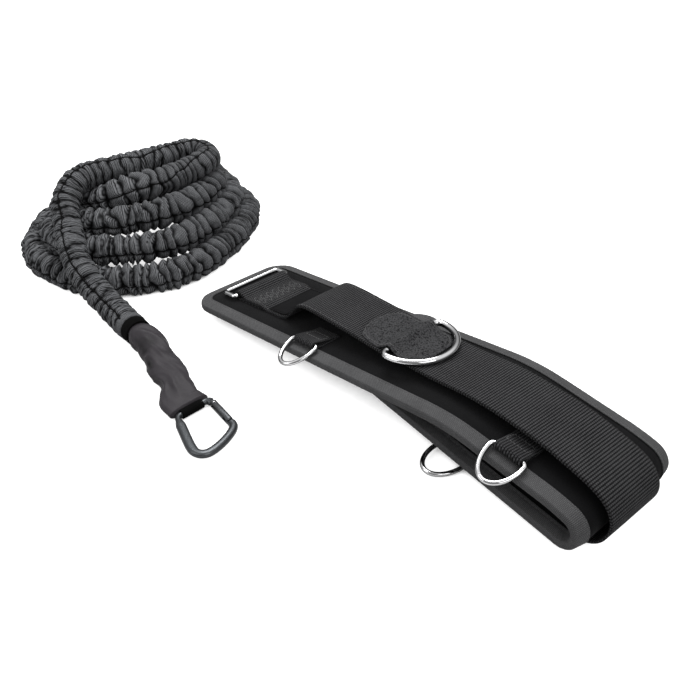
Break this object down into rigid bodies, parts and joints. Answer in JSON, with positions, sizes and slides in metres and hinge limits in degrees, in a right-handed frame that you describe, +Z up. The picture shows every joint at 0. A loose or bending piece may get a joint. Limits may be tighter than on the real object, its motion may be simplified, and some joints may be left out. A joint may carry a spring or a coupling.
{
  "type": "resistance sprint trainer",
  "caption": "Folded padded waist belt with webbing strap and D-rings, beside a sleeved elastic cord piled in loops with a carabiner at each end.",
  "frame": {"origin": "middle of the folded belt's footprint, on the surface it lies on", "axes": "+X along the belt from its buckle end to its fold, +Z up, +Y from the belt's near edge to its far edge"},
  "size_m": [0.8413, 0.3726, 0.1103],
  "materials": {
    "cover_fabric": "napped, matte",
    "foam": "closed-cell foam, matte",
    "lining_fabric": "knitted, matte",
    "binding_tape": "woven tape, matte",
    "webbing": "ribbed webbing, matte",
    "patch_fabric": "looped pile, matte",
    "hook_tape": "hook tape, satin",
    "label_cloth": "plain cloth, satin",
    "chrome_wire": "bright plated",
    "sleeve_fabric": "ruched nylon, matte",
    "hem_tape": "tape, matte",
    "wrap_cloth": "smooth nylon, soft sheen",
    "gunmetal": "dark metallic, satin",
    "pin_steel": "turned steel"
  },
  "bodies": {
    "belt_and_cord": {"foam_core": "foam", "pad_cover": "cover_fabric", "pad_lining": "lining_fabric", "upper_edge_binding": "binding_tape", "near_fold_binding": "binding_tape", "far_fold_binding": "binding_tape", "lower_edge_binding": "binding_tape", "waist_strap": "webbing", "strap_tail": "webbing", "hook_panel": "hook_tape", "label_patch": "label_cloth", "ring_patch": "patch_fabric", "d_ring_tab_1": "webbing", "d_ring_tab_2": "webbing", "d_ring_tab_3": "webbing", "cord_coil": "sleeve_fabric", "cord_lead": "sleeve_fabric", "near_sleeve_hem": "hem_tape", "near_end_wrap": "wrap_cloth", "near_clip_loop": "webbing", "far_sleeve_hem": "hem_tape", "far_end_wrap": "wrap_cloth", "far_clip_loop": "webbing"},
    "buckle": {"buckle_ring": "chrome_wire"},
    "large_ring": {"large_d_ring": "chrome_wire"},
    "small_ring_1": {"small_d_ring_1": "chrome_wire"},
    "small_ring_2": {"small_d_ring_2": "chrome_wire"},
    "small_ring_3": {"small_d_ring_3": "chrome_wire"},
    "near_carabiner": {"near_carabiner_body": "gunmetal", "near_gate_pin": "pin_steel"},
    "near_gate": {"near_carabiner_gate": "gunmetal"},
    "far_carabiner": {"far_carabiner_body": "gunmetal", "far_gate_pin": "pin_steel"},
    "far_gate": {"far_carabiner_gate": "gunmetal"}
  },
  "joints": [
    {"name": "buckle_swing", "type": "hinge", "parent": "belt_and_cord", "child": "buckle", "pos_m": [-0.19526, -0.00303, 0.02867], "axis": [0, 1, 0], "range_deg": [0, 140]},
    {"name": "large_ring_swing", "type": "hinge", "parent": "belt_and_cord", "child": "large_ring", "pos_m": [0.00848, -0.003, 0.06302], "axis": [0, -1, 0], "range_deg": [0, 150]},
    {"name": "small_ring_1_swing", "type": "hinge", "parent": "belt_and_cord", "child": "small_ring_1", "pos_m": [-0.07151, -0.052, 0.04245], "axis": [-0.9938, -0.0003, -0.1113], "range_deg": [0, 90]},
    {"name": "small_ring_2_swing", "type": "hinge", "parent": "belt_and_cord", "child": "small_ring_2", "pos_m": [0.15009, -0.05205, 0.05342], "axis": [-0.9903, -0.0005, 0.139], "range_deg": [0, 90]},
    {"name": "small_ring_3_swing", "type": "hinge", "parent": "belt_and_cord", "child": "small_ring_3", "pos_m": [0.0897, -0.03871, 0.00455], "axis": [0.9933, -0.0975, -0.0619], "range_deg": [0, 90]},
    {"name": "near_carabiner_swing", "type": "hinge", "parent": "belt_and_cord", "child": "near_carabiner", "pos_m": [-0.10492, -0.15612, 0.005], "axis": [0.0236, -0.9997, 0], "range_deg": [0, 75]},
    {"name": "near_gate_hinge", "type": "hinge", "parent": "near_carabiner", "child": "near_gate", "pos_m": [-0.09633, -0.13831, 0.005], "axis": [0, 0, -1], "range_deg": [0, 25], "stiffness_Nm_per_rad": 0.02, "springref_deg": -11.46},
    {"name": "far_carabiner_swing", "type": "hinge", "parent": "belt_and_cord", "child": "far_carabiner", "pos_m": [-0.54206, 0.15813, 0.005], "axis": [-0.3601, 0.9329, 0], "range_deg": [0, 75]},
    {"name": "far_gate_hinge", "type": "hinge", "parent": "far_carabiner", "child": "far_gate", "pos_m": [-0.54411, 0.13846, 0.005], "axis": [0, 0, -1], "range_deg": [0, 25], "stiffness_Nm_per_rad": 0.02, "springref_deg": -11.46}
  ]
}
